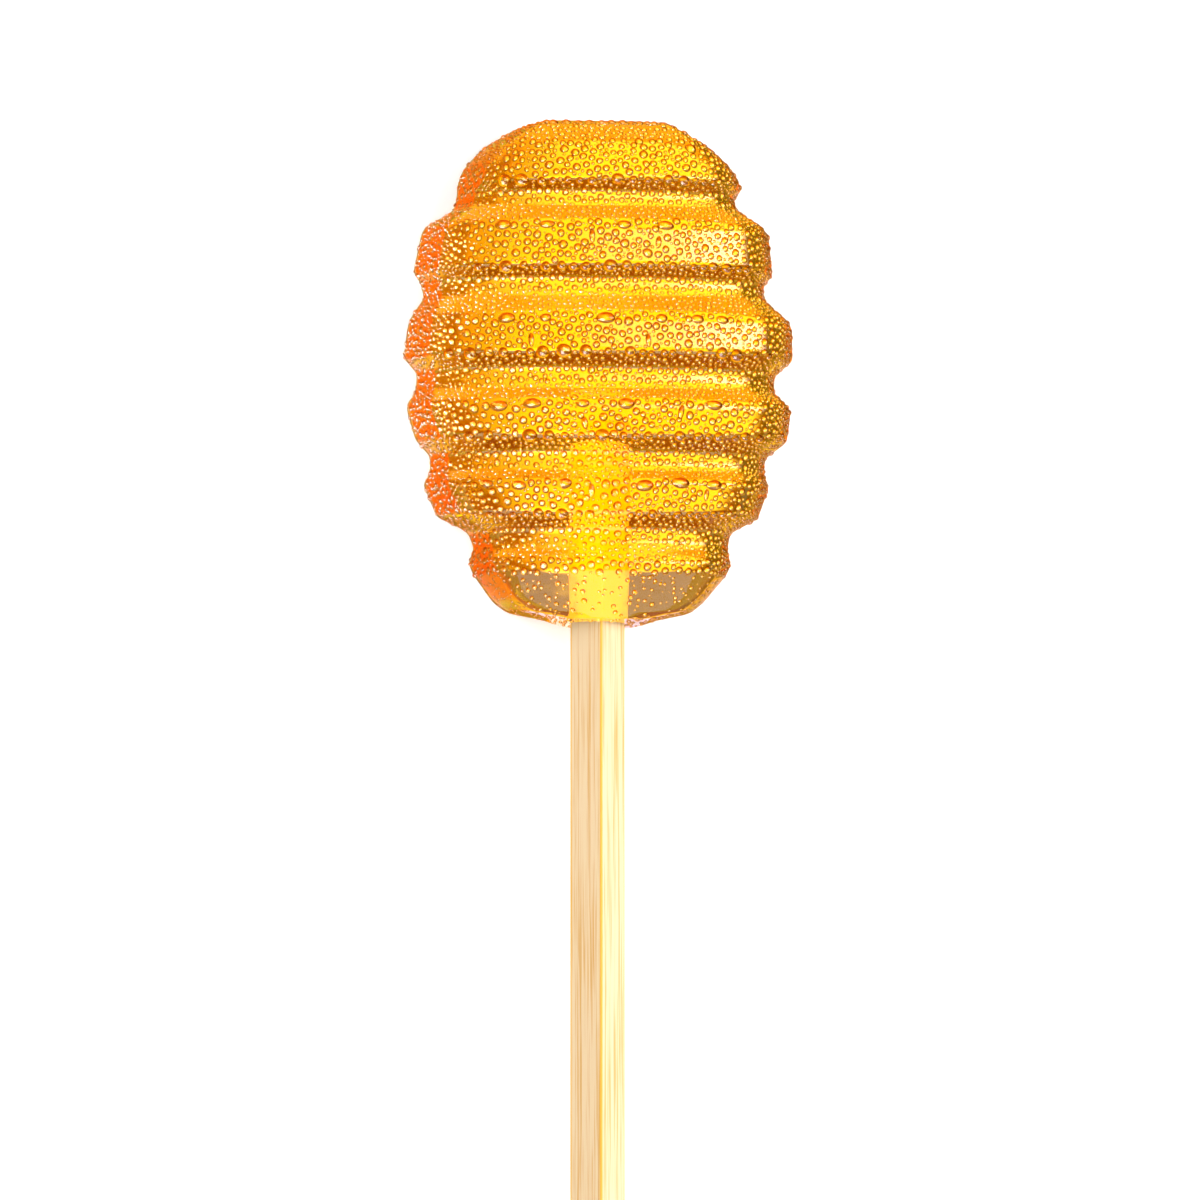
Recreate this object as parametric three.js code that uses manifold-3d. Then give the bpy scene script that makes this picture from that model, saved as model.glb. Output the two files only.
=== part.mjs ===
// Honey dipper lollipop: a boiled-sugar head cast as half a honey dipper, on a square bamboo stick.
// It lies on the head's flat back with the ridged front up. Millimetres, +Z up, the stick towards -Y.
import Module from "manifold-3d";
import * as THREE from "three";
import { LoftGeometry } from "three/addons/geometries/LoftGeometry.js";
import { mergeVertices } from "three/addons/utils/BufferGeometryUtils.js";

// Driving dimensions.
const HEAD_LENGTH = 50.9;
const STICK_LENGTH = 150;
const STICK_SIDE = 4;
const STICK_IN_HEAD = 20.5;
const STICK_AXIS_HEIGHT = 4.1;
const STICK_AXIS_X = -0.65; // a little left of the head's middle, as cast
const STICK_TURN = THREE.MathUtils.degToRad(45); // corner up, as a V-shaped rest in the mould holds it
const STICK_EDGE_RADIUS = 0.25;
const STICK_END_EASING = 0.15;
const SOCKET_CLEARANCE = 0.3;

const WALL_HEIGHT = 6; // the side wall between the flat back and the ridged front
const GROOVE_WALL = 4.4; // the same wall where a groove meets it
const WALL_DRAFT = THREE.MathUtils.degToRad(15);
const END_EDGE = 0.4; // the wall's upright edge at the very top and bottom of the outline
const LEAST_BULGE = 0.05; // of the front over the side wall, at both ends
const ARC_STEPS = 11; // half of the chords over the front
const BEND_STEPS = 3;

const OVERALL_LENGTH = HEAD_LENGTH + STICK_LENGTH - STICK_IN_HEAD;
const HEAD_TOP_Y = OVERALL_LENGTH / 2;

// The head's profile, from its top down to the stick. Each corner has its distance from the top, the
// outline's half-widths on both sides of the middle, the front's height along the middle, and the length
// over which the corner is rounded. The grooves are a little shallower on the left, as cast.
function corner(at, left, right, crest, bend, wall = WALL_HEIGHT) {
  return { at, left, right, crest, bend, wall };
}

const DOME = [
  corner(0, 4.15, 4.39, END_EDGE, 0, END_EDGE),
  corner(0.35, 6.45, 6.05, 2.8, 0.4, 2.6),
  corner(1.0, 8.45, 8.05, 6.9, 0.5),
  corner(2.9, 11.7, 11.5, 9.7, 1.4),
  corner(5.2, 13.8, 13.9, 11.2, 1.3),
  corner(6.8, 14.3, 14.5, 11.6, 0.5),
];

const RINGS = [
  corner(7.9, 14.35, 13.7, 9.9, 0.6, GROOVE_WALL),
  corner(9.2, 14.65, 14.25, 10.0, 0.6, GROOVE_WALL),
  corner(11.1, 17.8, 17.25, 12.3, 0.9),
  corner(15.4, 18.7, 17.65, 12.7, 0.5),

  corner(16.6, 17.95, 16.7, 10.9, 0.6, GROOVE_WALL),
  corner(18.0, 17.65, 16.85, 11.0, 0.7, GROOVE_WALL),
  corner(20.4, 19.2, 19.65, 13.3, 0.9),
  corner(24.0, 19.7, 19.7, 13.5, 0.5),

  corner(25.6, 18.35, 17.85, 11.6, 0.6, GROOVE_WALL),
  corner(27.3, 18.45, 17.8, 11.6, 0.7, GROOVE_WALL),
  corner(28.9, 19.45, 19.55, 13.4, 0.8),
  corner(32.2, 18.5, 19.1, 13.1, 0.5),

  corner(33.9, 17, 16.85, 11.3, 0.6, GROOVE_WALL),
  corner(35.5, 17.05, 16.8, 11.2, 0.6, GROOVE_WALL),
  corner(36.7, 17.7, 17.3, 12.8, 0.6),
  corner(39.9, 16.35, 16.15, 12.2, 0.5),
];

const FOOT = [
  corner(41.4, 13.25, 13.35, 10.3, 0.6, GROOVE_WALL),
  corner(43.0, 12.6, 13.05, 10.1, 0.6, GROOVE_WALL),
  corner(44.5, 13.15, 13.4, 11.3, 0.7),
  corner(45.6, 12.7, 12.95, 11.1, 0.4),
  corner(48.5, 10.65, 10.5, 9.2, 0.9),
  corner(49.5, 9.2, 9.15, 8.5, 0.6),
  corner(50.2, 5.65, 5.75, 7.9, 0.4, 6.6),
  corner(50.6, 4.45, 4.6, 4.0, 0.4, 3.8),
  corner(HEAD_LENGTH, 3.25, 3.45, END_EDGE, 0, END_EDGE),
];

const wasm = await Module();
wasm.setup();

// A closed geometry's positions alone, with its shared vertices merged, make a solid.
function toSolid(geometry) {
  const bare = new THREE.BufferGeometry();
  bare.setAttribute("position", geometry.getAttribute("position"));
  bare.setIndex(geometry.getIndex());
  const merged = mergeVertices(bare);
  const mesh = new wasm.Mesh({
    numProp: 3,
    vertProperties: merged.attributes.position.array,
    triVerts: new Uint32Array(merged.index.array),
  });
  return new wasm.Manifold(mesh);
}

function toGeometry(solid) {
  const { vertProperties, triVerts } = solid.getMesh();
  const geometry = new THREE.BufferGeometry();
  geometry.setAttribute("position", new THREE.BufferAttribute(vertProperties, 3));
  geometry.setIndex(new THREE.BufferAttribute(triVerts, 1));
  geometry.computeVertexNormals();
  return geometry;
}

function mix(a, b, share) {
  const names = Object.keys(a);
  return Object.fromEntries(names.map((name) => [name, THREE.MathUtils.lerp(a[name], b[name], share)]));
}

// Replaces each inner corner with a short parabola that touches both of its straight sides.
function roundCorners(corners) {
  const rounded = [corners[0]];
  for (let i = 1; i < corners.length - 1; i++) {
    const here = corners[i];
    const towards = (other) => {
      const span = Math.hypot(other.at - here.at, other.right - here.right, other.crest - here.crest);
      return mix(here, other, Math.min(here.bend / span, 0.45));
    };
    const start = towards(corners[i - 1]);
    const end = towards(corners[i + 1]);
    for (let step = 0; step <= BEND_STEPS; step++) {
      const share = step / BEND_STEPS;
      rounded.push(mix(mix(start, here, share), mix(here, end, share), share));
    }
  }
  rounded.push(corners.at(-1));
  return rounded;
}

// A slice across the head: the flat back, the two drafted walls, and over the front the arc of an
// ellipse that goes on from the walls at their own slope.
function slice({ at, left, right, wall, crest }) {
  const middle = (right - left) / 2;
  const reach = (right + left) / 2 - wall * Math.tan(WALL_DRAFT);
  const bulge = Math.max(crest - wall, LEAST_BULGE);
  const start = Math.atan((bulge / reach) * Math.tan(WALL_DRAFT));
  const halfWidth = reach / Math.cos(start);
  const halfHeight = bulge / (1 - Math.sin(start));
  const centreHeight = wall - halfHeight * Math.sin(start);
  const outline = new THREE.Path();
  outline.moveTo(-left, 0);
  outline.lineTo(right, 0);
  outline.absellipse(middle, centreHeight, halfWidth, halfHeight, start, Math.PI - start);
  return outline.getPoints(ARC_STEPS).map((point) => new THREE.Vector3(point.x, -at, point.y));
}

// A square bar along +Z with rounded long edges and slightly eased ends.
function squareBar(side, length, radius, easing) {
  const flat = side / 2 - radius;
  const square = new THREE.Shape();
  square.absarc(flat, flat, radius, 0, Math.PI / 2);
  square.absarc(-flat, flat, radius, Math.PI / 2, Math.PI);
  square.absarc(-flat, -flat, radius, Math.PI, 1.5 * Math.PI);
  square.absarc(flat, -flat, radius, 1.5 * Math.PI, 2 * Math.PI);
  const bar = new THREE.ExtrudeGeometry(square, {
    depth: length - 2 * easing,
    curveSegments: 2,
    bevelThickness: easing,
    bevelSize: easing,
    bevelOffset: -easing,
    bevelSegments: 1,
  });
  return bar.translate(0, 0, easing);
}

// Lays a bar made along +Z down along -Y, corner up, with its near end at the given distance from the top.
function layDown(bar, startAt) {
  return bar
    .rotateZ(STICK_TURN)
    .rotateX(Math.PI / 2)
    .translate(STICK_AXIS_X, -startAt, STICK_AXIS_HEIGHT);
}

function candyHeadGeometry() {
  const slices = roundCorners([...DOME, ...RINGS, ...FOOT]).map(slice);
  const dipper = toSolid(new LoftGeometry(slices, { capStart: true, capEnd: true }));
  const socketSide = STICK_SIDE + 2 * SOCKET_CLEARANCE;
  const socketDepth = STICK_IN_HEAD + SOCKET_CLEARANCE;
  const socket = new THREE.BoxGeometry(socketSide, socketSide, 2 * socketDepth).translate(0, 0, socketDepth);
  const cutter = toSolid(layDown(socket, HEAD_LENGTH - socketDepth));
  return toGeometry(dipper.subtract(cutter));
}

function stickGeometry() {
  const bar = squareBar(STICK_SIDE, STICK_LENGTH, STICK_EDGE_RADIUS, STICK_END_EASING);
  return layDown(bar, HEAD_LENGTH - STICK_IN_HEAD);
}

const boiledSugar = new THREE.MeshStandardMaterial({ color: 0xffb400, roughness: 0.08, metalness: 0 });
const bamboo = new THREE.MeshStandardMaterial({ color: 0xf6e2b4, roughness: 0.6, metalness: 0 });

const candyHead = new THREE.Mesh(candyHeadGeometry(), boiledSugar);
candyHead.name = "candy_head";

const stick = new THREE.Mesh(stickGeometry(), bamboo);
stick.name = "stick";

const lollipop = new THREE.Group();
lollipop.add(candyHead, stick);
lollipop.position.y = HEAD_TOP_Y;

export default lollipop;
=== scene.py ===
import math

import bpy
import numpy as np
from mathutils import Matrix, Vector


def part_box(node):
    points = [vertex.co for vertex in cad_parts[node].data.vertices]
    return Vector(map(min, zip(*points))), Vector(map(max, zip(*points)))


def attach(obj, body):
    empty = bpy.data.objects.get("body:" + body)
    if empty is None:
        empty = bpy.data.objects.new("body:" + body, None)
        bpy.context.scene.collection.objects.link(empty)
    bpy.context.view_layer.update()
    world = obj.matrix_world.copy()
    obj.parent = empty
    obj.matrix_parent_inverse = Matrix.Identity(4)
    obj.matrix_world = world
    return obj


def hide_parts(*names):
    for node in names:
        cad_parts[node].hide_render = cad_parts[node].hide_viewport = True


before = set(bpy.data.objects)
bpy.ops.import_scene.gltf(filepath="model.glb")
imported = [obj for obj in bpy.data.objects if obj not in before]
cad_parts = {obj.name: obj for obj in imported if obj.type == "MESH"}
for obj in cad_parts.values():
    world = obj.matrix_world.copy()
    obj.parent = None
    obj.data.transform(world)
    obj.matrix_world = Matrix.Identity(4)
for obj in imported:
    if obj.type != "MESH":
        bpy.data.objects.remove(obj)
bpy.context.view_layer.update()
mm = 0.001
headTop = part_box("candy_head")[1].y / mm     # distances down the lollipop start here, and are in mm
stickX = -0.65                               # the stick's axis, a little left of the head's middle
rng = np.random.default_rng(7)


def linear(hexColour):
    values = [int(hexColour[i:i + 2], 16) / 255 for i in (1, 3, 5)]
    return [v / 12.92 if v <= 0.04045 else ((v + 0.055) / 1.055) ** 2.4 for v in values] + [1.0]


def smooth(low, high, value):
    t = np.clip((value - low) / (high - low), 0, 1)
    return t * t * (3 - 2 * t)


def towards(share, hexColour):      # white turning to this colour as the share goes to 1
    return 1 - share[..., None] * (1 - np.array(linear(hexColour)[:3]))


def addNode(tree, kind, settings=None, links=None):
    node = tree.nodes.new(kind)
    for name, value in (settings or {}).items():
        if isinstance(name, int) or name in node.inputs:
            node.inputs[name].default_value = value
        else:
            setattr(node, name, value)
    for name, source in (links or {}).items():
        tree.links.new(source, node.inputs[name])
    return node


def newMaterial(name):
    material = bpy.data.materials.new(name)
    material.use_nodes = True
    material.node_tree.nodes.clear()
    return material, material.node_tree


def addPiece(name, verts, faces, material):
    mesh = bpy.data.meshes.new(name)
    mesh.from_pydata(verts, [], faces)
    mesh.materials.append(material)
    mesh.polygons.foreach_set("use_smooth", np.ones(len(mesh.polygons), bool))
    mesh.update()
    piece = bpy.data.objects.new(name, mesh)
    bpy.context.scene.collection.objects.link(piece)
    return piece


def paint(mesh, colours, domain):      # painted shade: one linear colour for each point or corner
    layer = mesh.color_attributes.new("paintedShade", "FLOAT_COLOR", domain)
    withAlpha = np.column_stack([colours, np.ones(len(colours))])
    layer.data.foreach_set("color", withAlpha.ravel().astype(np.float32))


sugarLook = {
    "passed": "#fef700",       # what a short way through the sugar lets pass
    "density": 400.0,          # per metre: blue is gone within a few millimetres, green only slowly
    "roughness": 0.06,
    "ior": 1.5,
}


def boiledSugar():      # cast in a smooth mould: clear and glossy, gold where thin and amber where thick
    material, tree = newMaterial("boiled sugar candy")
    # the vertex tint is painted shade: darker low on the left and a deeper orange along the top edge
    tint = addNode(tree, "ShaderNodeVertexColor", {"layer_name": "paintedShade"})
    surface = addNode(tree, "ShaderNodeBsdfPrincipled", {
        "Roughness": sugarLook["roughness"], "IOR": sugarLook["ior"], "Transmission Weight": 1.0},
        {"Base Color": tint.outputs["Color"]})
    depth = addNode(tree, "ShaderNodeVolumeAbsorption", {
        "Color": linear(sugarLook["passed"]), "Density": sugarLook["density"]})
    addNode(tree, "ShaderNodeOutputMaterial", links={
        "Surface": surface.outputs["BSDF"], "Volume": depth.outputs["Volume"]})
    return material


waterLook = {
    "roughness": 0.1,
    "ior": 1.42,      # the dew has dissolved some sugar, so it bends light more than plain water
}


def dewWater():      # every bead is a small clear lens, and its painted shade gives it its dark crescent
    material, tree = newMaterial("dew droplets")
    tint = addNode(tree, "ShaderNodeVertexColor", {"layer_name": "paintedShade"})
    surface = addNode(tree, "ShaderNodeBsdfPrincipled", {
        "Roughness": waterLook["roughness"], "IOR": waterLook["ior"], "Transmission Weight": 1.0},
        {"Base Color": tint.outputs["Color"]})
    addNode(tree, "ShaderNodeOutputMaterial", links={"Surface": surface.outputs["BSDF"]})
    return material


bambooLook = {
    "fibre": "#dcb069",
    "wood": "#ecd8b4",
    "corner": "#eebb45",
    "litInside": "#e0b030",            # painted light: yellower inside the candy, to go with the painted glow
    "glowLow": "#ffc900",           # painted glow: the wood there gives off light, and it fades into the amber
    "glowHigh": "#fac100",
    "glowSide": "#f2a800",
    "glow": 1.15,
    "roughness": 0.4,
    "fibreSize": (0.2, 50 / 3),     # mm, wide and long
    "fibreShare": (0.36, 0.52),     # where the noise turns from fibre to wood
    "halfDiagonal": 2.8,            # mm, from the ridge along the top to a side corner
    "ridgeLine": (0.03, 0.07),      # shares of it: golden up to here
    "cornerLine": (0.92, 0.96),     # and from here on
    "insideFrom": (50.5, 50.2),     # mm from the candy's top
    "glowFades": (45, 32),
    "glowSideAt": (1.9, 2.6),       # mm from the stick's axis
    "raggedSize": 10 / 9,           # mm, of the uneven patches along the glow's sides
    "raggedBy": 1.2,                # mm, how far they push a side in or out
}


def bambooWood():      # sawn and sanded: half-matt pale straw with fine straight fibres, golden along the ridge and corners, and a painted glow inside the candy
    look = bambooLook
    material, tree = newMaterial("sanded bamboo")
    where = addNode(tree, "ShaderNodeTexCoord").outputs["Object"]
    axes = addNode(tree, "ShaderNodeSeparateXYZ", links={"Vector": where})
    wide, long = (1 / (size * mm) for size in look["fibreSize"])
    fine = addNode(tree, "ShaderNodeMapping", {"Scale": (wide, long, wide)}, {"Vector": where})
    fibres = addNode(tree, "ShaderNodeTexNoise", {"Scale": 1.0, "Detail": 3.0, "Roughness": 0.6},
                     {"Vector": fine.outputs["Vector"]})
    streaks = addNode(tree, "ShaderNodeValToRGB", links={"Fac": fibres.outputs["Fac"]})
    fibre, wood = linear(look["fibre"]), linear(look["wood"])
    for stop, at, colour in zip(streaks.color_ramp.elements, look["fibreShare"], (fibre, wood)):
        stop.position = at
        stop.color = colour

    sideways = addNode(tree, "ShaderNodeMath", {"operation": "SUBTRACT", 1: stickX * mm},
                       {0: axes.outputs["X"]})
    outwards = addNode(tree, "ShaderNodeMath", {"operation": "ABSOLUTE"}, {0: sideways.outputs[0]})
    share = addNode(tree, "ShaderNodeMapRange", {"From Max": look["halfDiagonal"] * mm},
                    {"Value": outwards.outputs[0]})
    corners = addNode(tree, "ShaderNodeValToRGB", links={"Fac": share.outputs["Result"]})
    black, white = (0, 0, 0, 1), (1, 1, 1, 1)
    for stop, at, colour in zip(corners.color_ramp.elements, look["ridgeLine"], (white, black)):
        stop.position = at
        stop.color = colour
    for at, colour in zip(look["cornerLine"], (black, white)):
        corners.color_ramp.elements.new(at).color = colour
    goldenEdges = addNode(tree, "ShaderNodeMix", {"data_type": "RGBA", 7: linear(look["corner"])}, {
        0: corners.outputs["Color"], 6: streaks.outputs["Color"]})

    # painted light: inside the candy the wood is tinted yellow and given a glow, though it is no lamp
    start, full = ((headTop - at) * mm for at in look["insideFrom"])
    inside = addNode(tree, "ShaderNodeMapRange", {"From Min": start, "From Max": full},
                     {"Value": axes.outputs["Y"]})
    litInside = addNode(tree, "ShaderNodeMix", {"data_type": "RGBA", 7: linear(look["litInside"])}, {
        0: inside.outputs["Result"], 6: goldenEdges.outputs[2]})
    start, full = ((headTop - at) * mm for at in look["glowFades"])
    height = addNode(tree, "ShaderNodeMapRange", {"From Min": start, "From Max": full},
                     {"Value": axes.outputs["Y"]})
    glow = addNode(tree, "ShaderNodeValToRGB", links={"Fac": height.outputs["Result"]})
    for stop, colour in zip(glow.color_ramp.elements, (look["glowLow"], look["glowHigh"])):
        stop.color = linear(colour)
    ragged = addNode(tree, "ShaderNodeTexNoise", {"Scale": 1 / (look["raggedSize"] * mm), "Detail": 2.0},
                     {"Vector": where})
    push = look["raggedBy"] * mm
    pushed = addNode(tree, "ShaderNodeMath", {"operation": "MULTIPLY_ADD", 1: 2 * push, 2: -push},
                     {0: ragged.outputs["Fac"]})
    side = addNode(tree, "ShaderNodeMath", {"operation": "ADD"},
                   {0: outwards.outputs[0], 1: pushed.outputs[0]})
    start, full = (at * mm for at in look["glowSideAt"])
    border = addNode(tree, "ShaderNodeMapRange", {"From Min": start, "From Max": full},
                     {"Value": side.outputs[0]})
    glowing = addNode(tree, "ShaderNodeMix", {"data_type": "RGBA", 7: linear(look["glowSide"])}, {
        0: border.outputs["Result"], 6: glow.outputs["Color"]})
    strength = addNode(tree, "ShaderNodeMath", {"operation": "MULTIPLY", 1: look["glow"]},
                       {0: inside.outputs["Result"]})
    surface = addNode(tree, "ShaderNodeBsdfPrincipled", {"Roughness": look["roughness"]}, {
        "Base Color": litInside.outputs[2], "Emission Color": glowing.outputs[2],
        "Emission Strength": strength.outputs[0]})
    addNode(tree, "ShaderNodeOutputMaterial", links={"Surface": surface.outputs["BSDF"]})
    return material


sugar = boiledSugar()
water = dewWater()
bamboo = bambooWood()
print("materials")

candy = {      # mm
    "wallHeight": 6.0,         # the side wall between the flat back and the ridged front
    "grooveWall": 4.4,         # the same wall where a groove meets it
    "draft": math.radians(15),
    "endEdge": 0.4,            # the wall's upright edge at the very top and bottom
    "floorFillet": 0.3,        # between the flat back and the wall
    "leastBulge": 0.05,
    "chord": 0.3,              # between stations down the candy
    "arcSteps": 120,
    "wallSteps": 8,
    "filletSteps": 4,
    "bendSteps": 6,
    "lowLeftShade": "#eedacc",      # painted shade: the sugar is made a little darker low on the left
    "rim": "#ffa040",          # painted shade: a deeper orange along the top edge
}
wall, grooveWall, end = candy["wallHeight"], candy["grooveWall"], candy["endEdge"]
profile = [      # mm from the top, half-widths left and right, crest, rounding, side wall
    (0, 4.15, 4.39, end, 0, end), (0.35, 6.45, 6.05, 2.8, 0.4, 2.6), (1.0, 8.45, 8.05, 6.9, 0.5, wall),
    (2.9, 11.7, 11.5, 9.7, 1.4, wall), (5.2, 13.8, 13.9, 11.2, 1.3, wall),
    (6.8, 14.3, 14.5, 11.6, 0.5, wall),
    (7.9, 14.35, 13.7, 9.9, 0.6, grooveWall), (9.2, 14.65, 14.25, 10.0, 0.6, grooveWall),
    (11.1, 17.8, 17.25, 12.3, 0.9, wall), (15.4, 18.7, 17.65, 12.7, 0.5, wall),
    (16.6, 17.95, 16.7, 10.9, 0.6, grooveWall), (18.0, 17.65, 16.85, 11.0, 0.7, grooveWall),
    (20.4, 19.2, 19.65, 13.3, 0.9, wall), (24.0, 19.7, 19.7, 13.5, 0.5, wall),
    (25.6, 18.35, 17.85, 11.6, 0.6, grooveWall), (27.3, 18.45, 17.8, 11.6, 0.7, grooveWall),
    (28.9, 19.45, 19.55, 13.4, 0.8, wall), (32.2, 18.5, 19.1, 13.1, 0.5, wall),
    (33.9, 17, 16.85, 11.3, 0.6, grooveWall), (35.5, 17.05, 16.8, 11.2, 0.6, grooveWall),
    (36.7, 17.7, 17.3, 12.8, 0.6, wall), (39.9, 16.35, 16.15, 12.2, 0.5, wall),
    (41.4, 13.25, 13.35, 10.3, 0.6, grooveWall), (43.0, 12.6, 13.05, 10.1, 0.6, grooveWall),
    (44.5, 13.15, 13.4, 11.3, 0.7, wall), (45.6, 12.7, 12.95, 11.1, 0.4, wall),
    (48.5, 10.65, 10.5, 9.2, 0.9, wall), (49.5, 9.2, 9.15, 8.5, 0.6, wall),
    (50.2, 5.65, 5.75, 7.9, 0.4, 6.6), (50.6, 4.45, 4.6, 4.0, 0.4, 3.8), (50.9, 3.25, 3.45, end, 0, end),
]


def stationsOf(corners):      # rounds each inner corner with a short parabola, then fills in even steps
    rows = [np.array(c, float) for c in corners]
    out = [rows[0]]
    for before, here, after in zip(rows, rows[1:], rows[2:]):
        def partWay(other):
            span = math.dist(here[[0, 2, 3]], other[[0, 2, 3]])
            return here + (other - here) * min(here[4] / span, 0.45)
        a, b = partWay(before), partWay(after)
        for t in np.linspace(0, 1, candy["bendSteps"] + 1):
            out.append((a * (1 - t) + here * t) * (1 - t) + (here * (1 - t) + b * t) * t)
    out.append(rows[-1])
    fine = [out[0]]
    for a, b in zip(out, out[1:]):
        steps = max(1, math.ceil(math.dist(a[[0, 2, 3]], b[[0, 2, 3]]) / candy["chord"]))
        fine += [a + (b - a) * k / steps for k in range(1, steps + 1)]
    return np.array(fine)


def sliceAcross(row):
    at, left, right, crest, _, side = row
    lean = math.tan(candy["draft"])
    middle, reach = (right - left) / 2, (right + left) / 2 - side * lean
    bulge = max(crest - side, candy["leastBulge"])
    fillet = min(candy["floorFillet"], side * 0.5)
    turn = np.linspace(0, math.pi / 2, candy["filletSteps"] + 1)
    rise = fillet + (side - fillet) * np.linspace(0, 1, candy["wallSteps"] + 1)[1:-1]
    start = math.atan(bulge / reach * lean)      # the front's arc goes on from the walls at their slope
    arc = np.linspace(math.pi - start, start, candy["arcSteps"] + 1)
    halfWidth, halfHeight = reach / math.cos(start), bulge / (1 - math.sin(start))
    x = np.concatenate([
        -left + fillet * (1 - np.sin(turn)), -left + rise * lean, middle + halfWidth * np.cos(arc),
        right - rise[::-1] * lean, right - fillet * (1 - np.sin(turn[::-1]))])
    z = np.concatenate([
        fillet * (1 - np.cos(turn)), rise, side + halfHeight * (np.sin(arc) - math.sin(start)), rise[::-1],
        fillet * (1 - np.cos(turn[::-1]))])
    return np.column_stack([x, np.full(len(x), headTop - at), z])


grid = np.array([sliceAcross(row) for row in stationsOf(profile)])     # station, around, xyz in mm
rows, cols = grid.shape[:2]


def candyFaces():
    faces = []
    for i in range(rows - 1):
        for j in range(cols):
            a, b = i * cols + j, i * cols + (j + 1) % cols
            faces.append((a, a + cols, b + cols, b))
    faces.append(tuple(range(cols)))
    faces.append(tuple(range((rows - 1) * cols, rows * cols))[::-1])
    return faces


def sharpEdges(mesh):       # keeps the flat back and both ends crisp under smooth shading
    ends = np.empty(len(mesh.edges) * 2, int)
    mesh.edges.foreach_get("vertices", ends)
    i, j = np.divmod(ends.reshape(-1, 2), cols)
    alongBack = (j[:, 0] == j[:, 1]) & np.isin(j[:, 0], (0, cols - 1))
    aroundEnd = (i[:, 0] == i[:, 1]) & np.isin(i[:, 0], (0, rows - 1))
    mesh.edges.foreach_set("use_edge_sharp", alongBack | aroundEnd)
    mesh.update()


head = addPiece("candy_body", (grid.reshape(-1, 3) * mm).tolist(), candyFaces(), sugar)
sharpEdges(head.data)
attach(head, "root")
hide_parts("candy_head")
down, across = headTop - grid[:, :, 1], grid[:, :, 0]
# painted shade on the candy: darker low on the left, and a deeper orange along the top edge
lowLeftShade = smooth(-3, -14, across) * smooth(28, 46, down)
tint = towards(lowLeftShade, candy["lowLeftShade"]) * towards(smooth(0.4, 0.1, down), candy["rim"])
paint(head.data, tint.reshape(-1, 3), "POINT")
print("candy body", rows, "x", cols, "points")

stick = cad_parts["stick"]
stick.data.materials.clear()
stick.data.materials.append(bamboo)
print("stick")

normals = np.cross(np.gradient(grid, axis=0), np.gradient(grid, axis=1))
normals /= np.linalg.norm(normals, axis=2, keepdims=True) + 1e-12
if normals[rows // 2, cols // 2, 2] < 0:
    normals = -normals
area = np.linalg.norm(np.cross(grid[1:, :-1] - grid[:-1, :-1], grid[:-1, 1:] - grid[:-1, :-1]), axis=2)

rings = {       # mm from the top
    "rim": 0.6,
    "dome": 2.6,
    "landEnds": (6.8, 15.4, 24.0, 32.2, 39.9),
    "grooves": ((7.9, 9.2), (16.6, 18.0), (25.6, 27.3), (33.9, 35.5), (41.4, 43.0)),
    "landStarts": (11.1, 20.4, 28.9, 36.7, 44.5),
    "foot": 45.8,
}


def regionOf(points):      # lands are the rings' flat bands, drops the steep steps under them
    s = headTop - points[:, 1]
    region = np.full(len(s), "land", "U6")
    for landEnd, (low, high), start in zip(rings["landEnds"], rings["grooves"], rings["landStarts"]):
        region[(s >= landEnd + 0.1) & (s < low - 0.1)] = "drop"
        region[(s >= low - 0.1) & (s <= high)] = "groove"
        region[(s > high) & (s < start - 0.3)] = "slope"
    region[s < rings["dome"]] = "dome"
    region[s < rings["rim"]] = "rim"
    region[(points[:, 2] < wall + 0.4) & (s > rings["rim"])] = "wall"
    region[s > rings["foot"]] = "foot"
    return region


def pickPlaces(count):
    pick = rng.choice(area.size, count, p=(area / area.sum()).ravel())
    i, j = np.divmod(pick, cols - 1)
    s, t = rng.random((2, count))[..., None]

    def blend(a):
        before, after = a[i, j] * (1 - s) + a[i + 1, j] * s, a[i, j + 1] * (1 - s) + a[i + 1, j + 1] * s
        return before * (1 - t) + after * t
    n = blend(normals)
    return blend(grid), n / np.linalg.norm(n, axis=1, keepdims=True)


def placeAt(s, x):        # the point of the front nearest to these distances
    i = int(np.argmin(np.abs(headTop - grid[:, 0, 1] - s)))
    front = np.where(grid[i, :, 2] > wall)[0]
    j = front[int(np.argmin(np.abs(grid[i, front, 0] - x)))]
    return grid[i, j].copy(), normals[i, j]


def halfWidthAt(s):
    return np.interp(s, [row[0] for row in profile], [row[2] for row in profile])


class Spread:        # keeps droplets from running into each other
    def __init__(self, cell=1.2):      # mm
        self.cell, self.bins = cell, {}

    def keyOf(self, p):
        return tuple(int(math.floor(c / self.cell)) for c in p)

    def near(self, p, r, gap):
        kx, ky, kz = self.keyOf(p)
        for x in (kx - 1, kx, kx + 1):
            for y in (ky - 1, ky, ky + 1):
                for z in (kz - 1, kz, kz + 1):
                    for q, rq in self.bins.get((x, y, z), ()):
                        apart = (p[0] - q[0]) ** 2 + (p[1] - q[1]) ** 2 + (p[2] - q[2]) ** 2
                        if apart < ((r + rq) * gap) ** 2:
                            return True
        return False

    def add(self, p, r):
        self.bins.setdefault(self.keyOf(p), []).append((p, r))


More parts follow.
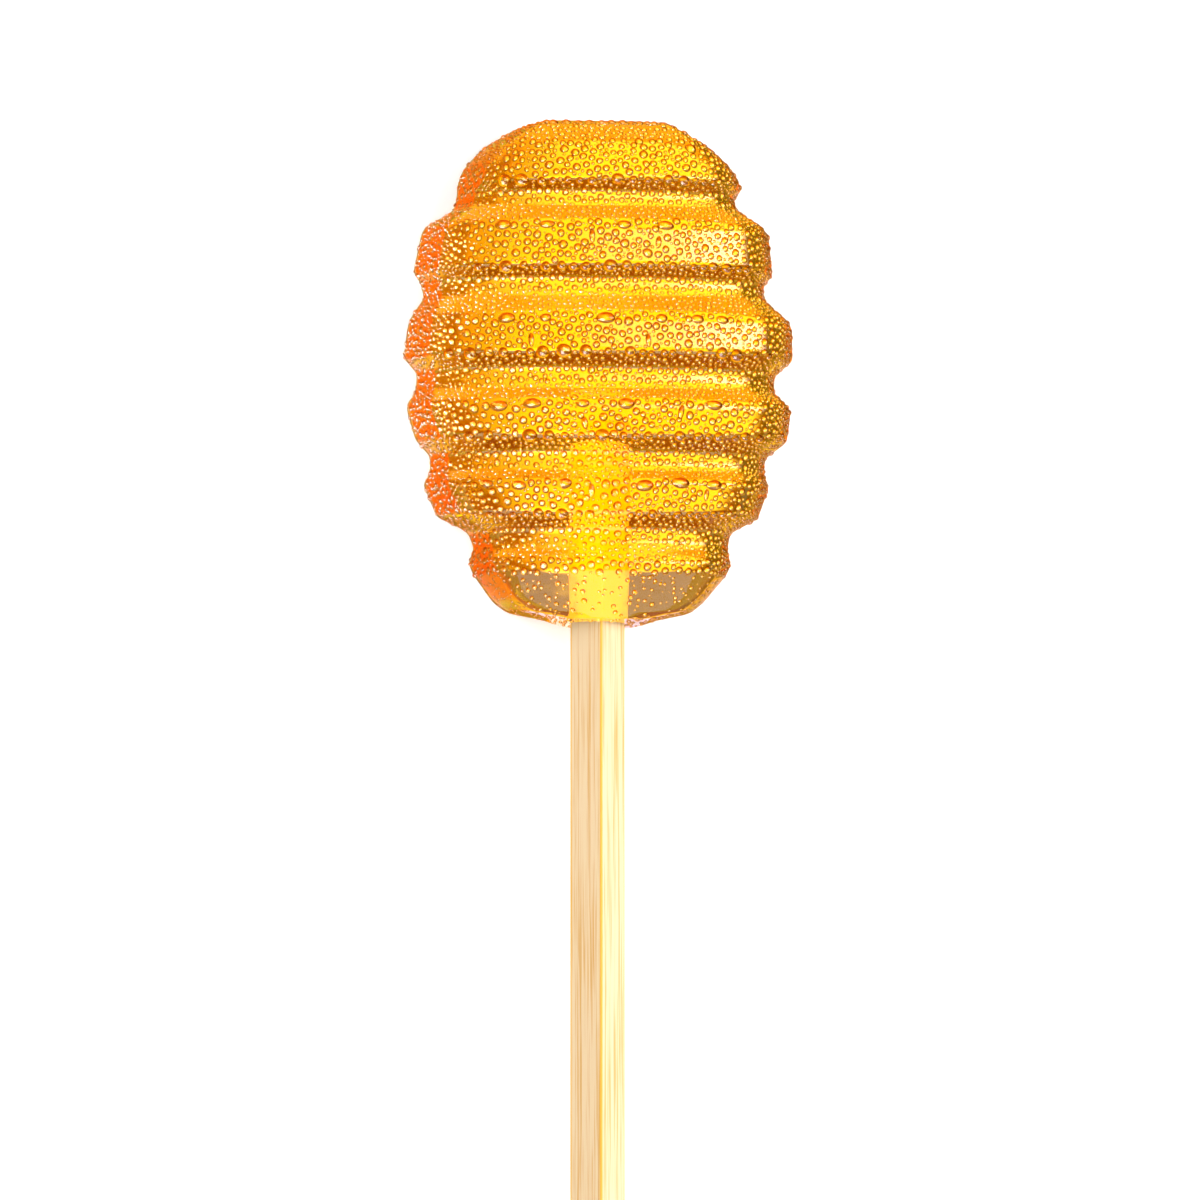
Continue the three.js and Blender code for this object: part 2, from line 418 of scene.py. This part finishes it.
dew = {
    "overStick": (2.7, 37, 0.6),      # mm from its axis, mm from the top, share of droplets left out
    "narrower": (0.72, 0.45),         # share of the half-width where they start to shrink, and how far
    "leftBorder": (-14.8, 1.2, 1.7),  # mm, wave: droplets beyond this wavy line catch the left lamps
    "highest": 13.8,                  # mm above the table
    "sunk": 0.12,                     # how deep a droplet's foot goes into the sugar, in radii
    "lumps": ((2, 0.03), (3, 0.025)),     # how many bulges round it, and how large
    "ovals": {                        # mm, apart from the stretch
        "reach": 13, "below": (0.2, 0.5), "apart": (2.5, 9.0), "radius": (0.42, 0.58),
        "stretch": (1.3, 1.9)},
    "runs": {                         # share of the way down the ring, mm, and a turn in radians
        "down": (0.35, 0.75), "across": ((-9, 7), (2, 11)), "radius": (0.26, 0.31),
        "stretch": (2.0, 2.6), "turn": (-0.25, 0.25)},
    "hanging": {                      # how far apart is in radii, here and in the rows
        "inset": 3.5, "below": (0.05, 0.25), "apart": (2.1, 3.3), "radius": (0.38, 0.74),
        "stretch": (1.0, 1.1)},
    "rows": {                         # offset from where the groove begins, and radius, of both rows
        "reach": 16, "places": ((0.15, 0.3), (-0.35, 0.2)), "wander": (-0.125, 0.125),
        "apart": (2.1, 2.7), "size": (1, 1.35)},
    "dots": {
        "tries": 50000, "radius": 0.25, "spread": 0.12, "gap": 1.08,
        "rule": {"slope": (1, 1), "dome": (1, 1.1)}},      # share kept and size, by region
    "beads": {
        "tries": 90000, "radius": 0.38, "spread": 0.12, "gap": 1.0,
        "rule": {"land": (1, 1), "groove": (1, 0.85), "dome": (0.5, 0.8), "drop": (1, 0.75),
                 "wall": (0.07, 1.3)}},
    "small": {
        "tries": 50000, "radius": 0.21, "spread": 0.2, "gap": 1.04,
        "rule": {"land": (1, 1), "groove": (1, 1), "dome": (1, 1), "drop": (0.6, 1),
                 "wall": (0.18, 1.5), "foot": (0.1, 1.1)}},
    "specks": {
        "tries": 60000, "radius": 0.12, "spread": 0.2, "gap": 1.15,
        "rule": {"land": (0.5, 1), "groove": (0.5, 1), "dome": (0.5, 1), "drop": (0.5, 1),
                 "slope": (1, 1), "wall": (0.25, 1.3), "foot": (0.03, 1)}},
    "fineness": {      # segments round a droplet, and levels from its top down
        "ovals": (24, 7), "hanging": (20, 7), "beads": (12, 4), "small": (8, 3), "specks": (6, 2),
        "dots": (10, 3)},
}
taken = Spread()


def between(limits):
    low, high = limits
    return low + (high - low) * rng.random()


def addSpot(spots, p, n, r, stretch, turn, gap=1.0):
    beside, below, leftOut = dew["overStick"]
    overStick = abs(p[0] - stickX) < beside and headTop - p[1] > below
    if taken.near(p, r * stretch ** 0.5, gap) or overStick and rng.random() < leftOut:
        return
    taken.add(p, r * stretch ** 0.5)
    spots.append((p, n, r, stretch, turn))


def crestOvals():      # long ones on the crest lines, and a few that have run a little way down a ring
    spots = []
    look, runs = dew["ovals"], dew["runs"]
    for start in rings["landStarts"][:4]:
        x = -look["reach"] + 3 * rng.random()
        while x < look["reach"]:
            p, n = placeAt(start + between(look["below"]), x)
            addSpot(spots, p, n, between(look["radius"]), between(look["stretch"]), 0.0)
            x += between(look["apart"])
    for start, landEnd in zip(rings["landStarts"], rings["landEnds"][1:]):
        for x in [between(limits) for limits in runs["across"]]:
            p, n = placeAt(start + (landEnd - start) * between(runs["down"]), x)
            r, stretch = between(runs["radius"]), between(runs["stretch"])
            addSpot(spots, p, n, r, stretch, math.pi / 2 + between(runs["turn"]))
    return spots


def edgeBeads():      # big beads hang along the ring edges
    spots = []
    look = dew["hanging"]
    for landEnd in rings["landEnds"]:
        reach = halfWidthAt(landEnd) - look["inset"]
        x = -reach + rng.random()
        while x < reach:
            least, most = look["radius"]
            r = least + (most - least) * rng.random() ** 3      # few are large
            p, n = placeAt(landEnd + between(look["below"]), x)
            addSpot(spots, p, n, r, between(look["stretch"]), 0.0)
            x += r * between(look["apart"])
    return spots


def belowEdges():       # rows of smaller beads in the dark line and where each groove begins
    spots = []
    look = dew["rows"]
    for grooveStart, _ in rings["grooves"]:
        for offset, radius in look["places"]:
            x = -look["reach"] + rng.random()
            while x < look["reach"]:
                r = radius * between(look["size"])
                p, n = placeAt(grooveStart + offset + between(look["wander"]), x)
                if p[2] > wall * 0.8:
                    addSpot(spots, p, n, r, 1.0, 0.0)
                x += r * between(look["apart"])
    return spots


def scatter(look):
    spots = []
    tries = look["tries"]
    points, norms = pickPlaces(tries)
    radii = look["radius"] * np.exp(look["spread"] * rng.standard_normal(tries))
    outward = np.abs(points[:, 0]) / halfWidthAt(headTop - points[:, 1])
    narrowFrom, narrowBy = dew["narrower"]
    radii *= 1 - narrowBy * smooth(narrowFrom, 1.0, outward)
    dice = rng.random(tries)
    for p, n, r, region, roll in zip(points, norms, radii, regionOf(points), dice):
        kept, size = look["rule"].get(str(region), (0, 1))
        r *= size
        if roll < kept and p[2] > r * 1.2:
            stretch, turn = math.exp(0.06 * rng.standard_normal()), rng.random() * math.pi
            addSpot(spots, p, n, r, stretch, turn, look["gap"])
    return spots


def capTemplate(segments, levels, contact):      # a ball cut off by the surface, its foot inside the candy
    ball = 1 / math.sin(contact)
    last = math.acos(max(-1, math.cos(contact) - dew["sunk"] / ball))
    around = 2 * math.pi * np.arange(segments) / segments
    verts = [(0, 0, ball - ball * math.cos(contact))]
    for k in range(1, levels + 1):
        a = last * k / levels
        for b in around:
            verts.append((ball * math.sin(a) * math.cos(b), ball * math.sin(a) * math.sin(b),
                          ball * math.cos(a) - ball * math.cos(contact)))
    faces = [(0, 1 + m, 1 + (m + 1) % segments) for m in range(segments)]
    for k in range(levels - 1):
        base = 1 + k * segments
        for m in range(segments):
            n = (m + 1) % segments
            faces.append((base + m, base + segments + m, base + segments + n, base + n))
    faces.append(tuple(1 + (levels - 1) * segments + m for m in range(segments))[::-1])
    return np.array(verts), faces


shade = {        # painted shade: a droplet is clear low on its left and darkens towards its upper right, in plan
    "towards": (0.42, 0.91),
    "ringStarts": (0.3, 0.65),      # radii from the clear point
    "darkStarts": (0.4, 0.75),
    "darkEase": 0.6,
    "bead": {"contact": 68, "clear": (-0.12, -0.2), "from": -0.2, "ring": "#ffe15a", "dark": "#b55c00"},
    "hanging": {"contact": 88, "clear": (-0.1, -0.3), "from": -0.15, "ring": "#f9c400", "dark": "#955000"},
    "dot": {"contact": 62, "clear": (-0.05, -0.2), "from": 0.0, "ring": "#ffe995", "dark": "#ffe195"},
}


def shadesOf(plan, look):      # painted shade, by each point's place in the droplet, seen from above, in radii
    off = np.linalg.norm(plan - look["clear"], axis=1)
    ring = smooth(*shade["ringStarts"], off)
    ahead = smooth(look["from"], look["from"] + shade["darkEase"], plan @ np.array(shade["towards"]))
    dark = smooth(*shade["darkStarts"], off) * ahead
    return towards(ring, look["ring"]) * towards(dark, look["dark"])


def addDroplets(name, spots, sort, kind):
    look = shade[kind]
    segments, levels = dew["fineness"][sort]
    template, shape = capTemplate(segments, levels, math.radians(look["contact"]))
    turnOf = np.arctan2(template[:, 1], template[:, 0])
    verts, faces, colours = [], [], []
    for k, (p, n, r, stretch, turn) in enumerate(spots):
        upright = 1 if kind == "hanging" else 0      # these stand up from the edge they hang on
        z = (Vector(n) + Vector((0, 0, upright))).normalized()
        x = Vector((1, 0, 0)) - z * z.x
        x = (x if x.length > 0.2 else Vector((0, 1, 0)) - z * z.y).normalized()
        x = Matrix.Rotation(turn, 3, z) @ x
        y = z.cross(x)
        lump = 1 + sum(by * np.cos(bulges * turnOf + rng.random() * 6.3) for bulges, by in dew["lumps"])
        own = template * np.column_stack([lump, lump, np.ones(len(lump))])
        basis = np.array([x * stretch, y, z]) * r
        tooHigh = max(0.0, p[2] + r * template[0, 2] - dew["highest"])
        base = k * len(template)
        verts.append(own @ basis + p - (0, 0, tooHigh))
        faces += [tuple(base + v for v in f) for f in shape]
        colours.append(shadesOf((own @ basis)[:, :2] / r, look))
    piece = addPiece(name, (np.concatenate(verts) * mm).tolist(), faces, water)
    curved = np.array([len(f) < segments for f in faces])
    piece.data.polygons.foreach_set("use_smooth", curved)
    # painted shade: each droplet's ring and dark crescent, one colour per corner
    corners = np.concatenate(colours)[np.concatenate(faces)].reshape(len(spots), -1, 3)
    corners[:, -segments:] = 1      # the underside is clear
    paint(piece.data, corners.reshape(-1, 3), "CORNER")
    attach(piece, "root")
    print(name, len(spots), "droplets", sum(len(f) - 2 for f in faces), "triangles")
    return piece


def onSide(spots, left):
    border, wave, perMm = dew["leftBorder"]
    return [s for s in spots if (s[0][0] < border - wave * math.sin(s[0][1] * perMm)) == left]


ovals = crestOvals()
hanging = edgeBeads()
grooveRows = belowEdges()
dots = scatter(dew["dots"])
beads = grooveRows + scatter(dew["beads"])
small = scatter(dew["small"])
specks = scatter(dew["specks"])
allDew = [addDroplets("dew_ovals", ovals, "ovals", "bead"),
          addDroplets("dew_hanging", hanging, "hanging", "hanging"),
          addDroplets("dew_beads", onSide(beads, False), "beads", "bead"),
          addDroplets("dew_small", onSide(small, False), "small", "bead"),
          addDroplets("dew_specks", onSide(specks, False), "specks", "dot")]
sparkling = [addDroplets("dew_slopes", dots, "dots", "dot"),
             addDroplets("dew_beads_left", onSide(beads, True), "beads", "bead"),
             addDroplets("dew_small_left", onSide(small, True), "small", "bead"),
             addDroplets("dew_specks_left", onSide(specks, True), "specks", "dot")]
allDew += sparkling

tableLook = {
    "paint": "#f4f4f4",
    "glow": "#dcedff",             # lifts the floor to white, and takes out the lamps' warmth
    "glowStrength": 0.5,
    "half": 3.0,                   # m
    "under": -0.1,                 # mm, just below the candy's flat back
    "paper": "#fcfcfc",
    "paperRadius": 2.9,            # m
    "paperHeight": 2.5,
    "paperSides": 48,
    "card": "#c48727",
    "cardEnd": 50.7,               # mm from the candy's top: the lowest rim mirrors the light panel
}
half, under = tableLook["half"], tableLook["under"] * mm


def flatSheet(name, low, z, material):
    corners = [(-half, low, z), (half, low, z), (half, half, z), (-half, half, z)]
    return addPiece(name, corners, [(0, 1, 2, 3)], material)


mattPaint, tree = newMaterial("matt white table paint")      # an even white, without glare
surface = addNode(tree, "ShaderNodeBsdfPrincipled", {
    "Base Color": linear(tableLook["paint"]), "Roughness": 0.9, "Emission Color": linear(tableLook["glow"]),
    "Emission Strength": tableLook["glowStrength"]})
addNode(tree, "ShaderNodeOutputMaterial", links={"Surface": surface.outputs["BSDF"]})
floor = flatSheet("floor", -half, under, mattPaint)
floor.visible_transmission = False      # through the candy the studio's light panel shows instead
floor.visible_glossy = False

whitePaper, tree = newMaterial("white paper backdrop")      # stands around the table as a plain pale wall
surface = addNode(tree, "ShaderNodeEmission", {"Color": linear(tableLook["paper"]), "Strength": 1.0})
addNode(tree, "ShaderNodeOutputMaterial", links={"Surface": surface.outputs["Emission"]})
sides, radius = tableLook["paperSides"], tableLook["paperRadius"]
turns = 2 * math.pi * np.arange(sides) / sides
rims = [(radius * math.cos(a), radius * math.sin(a), z)
        for z in (2 * under, tableLook["paperHeight"]) for a in turns]
sheets = [(k, (k + 1) % sides, sides + (k + 1) % sides, sides + k) for k in range(sides)]
paper = addPiece("backdrop", rims, sheets, whitePaper)
paper.visible_glossy = paper.visible_diffuse = paper.visible_shadow = False

amberCard, tree = newMaterial("amber card")        # what the candy's steep sides mirror
surface = addNode(tree, "ShaderNodeEmission", {"Color": linear(tableLook["card"]), "Strength": 1.0})
addNode(tree, "ShaderNodeOutputMaterial", links={"Surface": surface.outputs["Emission"]})
card = flatSheet("mirrored_card", (headTop - tableLook["cardEnd"]) * mm, 2 * under, amberCard)
card.visible_camera = card.visible_transmission = card.visible_diffuse = card.visible_shadow = False
print("table")

studio = {      # linear light levels
    "viewed": (0.14, 0.035, -1.0),       # where the photograph's view looks, per unit down
    "panelCentre": (0.0, -0.08, 0.0),
    "panelRadii": (0.34, 0.34, 1.0),
    "panel": (1.65, 1.24, 1.4, 1.0),
    "panelWarm": (1.05, 0.45, 0.05, 1.0),
    "hotSpot": (0.12, 0.22, 0.0),
    "hot": (2.8, 1.95, 1.8, 1.0),
    "gapUp": (1.4, 0.51, 0.1, 1.0),
    "gapDown": (0.33, 0.068, 0.0, 1.0),
    "gapLeft": (0.6, 0.16, 0.0, 1.0),
    "gapRight": (0.19, 0.09, 0.01, 1.0),
    "cardAhead": (0.44, 0.24, 0.2, 1.0),       # the foot's slope looks at this one
    "cardBeside": (1.3, 0.13, 0.0, 1.0),
    "cardAbove": (1.3, 0.9, 0.9, 1.0),
    "cardBelow": (1.15, 0.75, 0.4, 1.0),
    "room": (1.15, 0.95, 0.4, 1.0),
    "sky": (0.22, 0.1, 0.0, 1.0),
    "softboxAcross": 0.17,       # the strip softbox lies along +X, a little towards +Y
    "softbox": (2.8, 2.7, 2.4, 1.0),
    "softboxEnd": (12.0, 11.8, 11.2, 1.0),
    "front": (2.4, 2.4, 2.3, 1.0),
}
edges = {      # where each begins to show, and where it shows in full
    "gapDown": (-0.1, 0.25),             # these four along x or y, per unit down
    "gapLeftUp": (-0.25, -0.55),
    "gapLeft": (-0.1, 0.1),
    "gapBeside": (0.25, 0.4),
    "cardAbove": (0.4, 0.85),            # by heading, which is 1 for +Y
    "cardBelow": (-0.4, -0.85),
    "cards": (0.95, 1.7),                # outwards, per unit down
    "room": (0.34, 0.22),                # downwards, as a share of the ray
    "cardAheadSide": (1.5, 1.3),         # these four along x or y, per unit down
    "cardAheadEnd": (0.6, 0.5),
    "cardAheadStart": (0.24, 0.27),
    "panelWarm": (0.03, 0.3),
    "panel": (1.12, 0.88),               # outwards, in the panel's radii
    "hot": (0.112, 0.048),               # outwards, per unit down
    "softboxEnd": (0.35, 0.8),           # the rest along an axis, as a share of the ray
    "softboxStart": (-0.15, 0.3),
    "softboxRise": (0.05, 0.35),
    "softboxSide": (0.224, 0.096),
    "front": (-0.5, -0.75),
    "sky": (0.0, -0.02),
}
world = bpy.data.worlds.new("studio")
bpy.context.scene.world = world
world.use_nodes = True
tree = world.node_tree
tree.nodes.clear()


def overlay(below, above, value, edge):      # one colour over another, as the value passes the edge
    start, full = edges[edge]
    share = addNode(tree, "ShaderNodeMapRange", {
        "interpolation_type": "SMOOTHSTEP", "From Min": start, "From Max": full}, {"Value": value})
    blend = addNode(tree, "ShaderNodeMix", {"data_type": "RGBA"}, {0: share.outputs["Result"]})
    for socket, colour in ((blend.inputs[6], below), (blend.inputs[7], above)):
        if isinstance(colour, tuple):
            socket.default_value = colour
        else:
            tree.links.new(colour, socket)
    return blend.outputs[2]


ray = addNode(tree, "ShaderNodeTexCoord").outputs["Generated"]
rayAxes = addNode(tree, "ShaderNodeSeparateXYZ", links={"Vector": ray})
towardsX, towardsY, towardsZ = (rayAxes.outputs[axis] for axis in "XYZ")
downward = addNode(tree, "ShaderNodeMath", {"operation": "MULTIPLY", 1: -1.0}, {0: towardsZ}).outputs[0]
least = addNode(tree, "ShaderNodeMath", {"operation": "MAXIMUM", 1: 0.02}, {0: downward})   # never zero
perDown = addNode(tree, "ShaderNodeVectorMath", {"operation": "DIVIDE"}, {0: ray, 1: least.outputs[0]})
seen = addNode(tree, "ShaderNodeVectorMath", {"operation": "SUBTRACT", 1: studio["viewed"]},
               {0: perDown.outputs[0]}).outputs[0]
seenAxes = addNode(tree, "ShaderNodeSeparateXYZ", links={"Vector": seen})
seenX, seenY = seenAxes.outputs["X"], seenAxes.outputs["Y"]
apart = addNode(tree, "ShaderNodeMath", {"operation": "ABSOLUTE"}, {0: seenX}).outputs[0]
outward = addNode(tree, "ShaderNodeVectorMath", {"operation": "LENGTH"}, {0: seen}).outputs["Value"]
heading = addNode(tree, "ShaderNodeMath", {"operation": "DIVIDE"}, {0: seenY, 1: outward}).outputs[0]
offPanel = addNode(tree, "ShaderNodeVectorMath", {"operation": "SUBTRACT", 1: studio["panelCentre"]},
                   {0: seen})
inPanel = addNode(tree, "ShaderNodeVectorMath", {"operation": "DIVIDE", 1: studio["panelRadii"]},
                  {0: offPanel.outputs[0]})
fromPanel = addNode(tree, "ShaderNodeVectorMath", {"operation": "LENGTH"}, {0: inPanel.outputs[0]})
fromSpot = addNode(tree, "ShaderNodeVectorMath", {"operation": "DISTANCE", 1: studio["hotSpot"]}, {0: seen})

gapMiddle = overlay(studio["gapUp"], studio["gapDown"], seenY, "gapDown")
leftSide = overlay(studio["gapLeft"], studio["gapUp"], seenY, "gapLeftUp")
gapBeside = overlay(studio["gapRight"], leftSide, seenX, "gapLeft")
gap = overlay(gapMiddle, gapBeside, apart, "gapBeside")
cards = overlay(studio["cardBeside"], studio["cardAbove"], heading, "cardAbove")
cards = overlay(cards, studio["cardBelow"], heading, "cardBelow")
below = overlay(gap, cards, outward, "cards")
below = overlay(below, studio["room"], downward, "room")
ahead = overlay(below, studio["cardAhead"], apart, "cardAheadSide")
ahead = overlay(below, ahead, seenY, "cardAheadEnd")
below = overlay(below, ahead, seenY, "cardAheadStart")
panel = overlay(studio["panel"], studio["panelWarm"], seenX, "panelWarm")
below = overlay(below, panel, fromPanel.outputs["Value"], "panel")
below = overlay(below, studio["hot"], fromSpot.outputs["Value"], "hot")

off = addNode(tree, "ShaderNodeMath", {"operation": "SUBTRACT", 1: studio["softboxAcross"]}, {0: towardsY})
offStrip = addNode(tree, "ShaderNodeMath", {"operation": "ABSOLUTE"}, {0: off.outputs[0]}).outputs[0]
strip = overlay(studio["softbox"], studio["softboxEnd"], towardsX, "softboxEnd")
strip = overlay(studio["sky"], strip, towardsX, "softboxStart")
strip = overlay(studio["sky"], strip, towardsZ, "softboxRise")
above = overlay(studio["sky"], strip, offStrip, "softboxSide")
above = overlay(above, studio["front"], towardsY, "front")
around = overlay(below, above, downward, "sky")
background = addNode(tree, "ShaderNodeBackground", links={"Color": around})
addNode(tree, "ShaderNodeOutputWorld", links={"Surface": background.outputs["Background"]})

lamps = {       # place in m, width in m, power in W
    "left fill": ((-0.35, 0.25, 0.35), 0.4, 1.5),
    "left sparkle": ((-0.95, 0.15, 0.2), 1.1, 100),
    "high sparkle": ((-0.75, 0.2, 0.85), 0.6, 60),
    "dew glow": ((-0.55, -0.5, 0.85), 1.1, 48),
}
headCentre = (0, (headTop - 25) * mm, 0.008)


def addLight(name):
    place, width, power = lamps[name]
    lamp = bpy.data.lights.new(name, "AREA")
    lamp.shape = "DISK"
    lamp.size = width
    lamp.energy = power
    thing = bpy.data.objects.new(name, lamp)
    bpy.context.scene.collection.objects.link(thing)
    thing.location = place
    thing.visible_camera = False
    thing.rotation_euler = (Vector(headCentre) - Vector(place)).to_track_quat("-Z", "Y").to_euler()
    return thing


def addDewLight(name, pieces):      # only these droplets mirror it
    thing = addLight(name)
    thing.visible_diffuse = False
    receivers = bpy.data.collections.new(name)
    for piece in pieces:
        receivers.objects.link(piece)
    thing.light_linking.receiver_collection = receivers


fill = addLight("left fill")
fill.visible_glossy = fill.visible_transmission = False
addDewLight("left sparkle", sparkling)
addDewLight("high sparkle", (sparkling[0], sparkling[-1]))
addDewLight("dew glow", allDew)
print("studio")

shot = {
    "distance": 0.7,             # m
    "frameWidth": 0.1195,
    "left": math.radians(8),
    "down": math.radians(2),
    "beside": 0.25,              # mm right of the stick's axis
    "below": 48.25,              # mm from the candy's top
    "height": 4.1,
}
lens = bpy.data.cameras.new("camera")
camera = bpy.data.objects.new("camera", lens)
bpy.context.scene.collection.objects.link(camera)
target = Vector((stickX + shot["beside"], headTop - shot["below"], shot["height"])) * mm
back = Vector((-math.sin(shot["left"]), -math.sin(shot["down"]), 0))
back.z = math.sqrt(1 - back.length_squared)
right = Vector((0, 1, 0)).cross(back).normalized()
up = back.cross(right)
spin = Matrix((right, up, back)).transposed().to_4x4()
camera.matrix_world = Matrix.Translation(target + back * shot["distance"]) @ spin
lens.sensor_width = 36
lens.lens = 36 * shot["distance"] / shot["frameWidth"]
lens.clip_start, lens.clip_end = 0.05, 20
bpy.context.scene.camera = camera

scene = bpy.context.scene
scene.view_settings.view_transform = "Standard"
scene.cycles.max_bounces = 24
scene.cycles.transmission_bounces = 24
scene.cycles.glossy_bounces = 6
scene.cycles.diffuse_bounces = 4
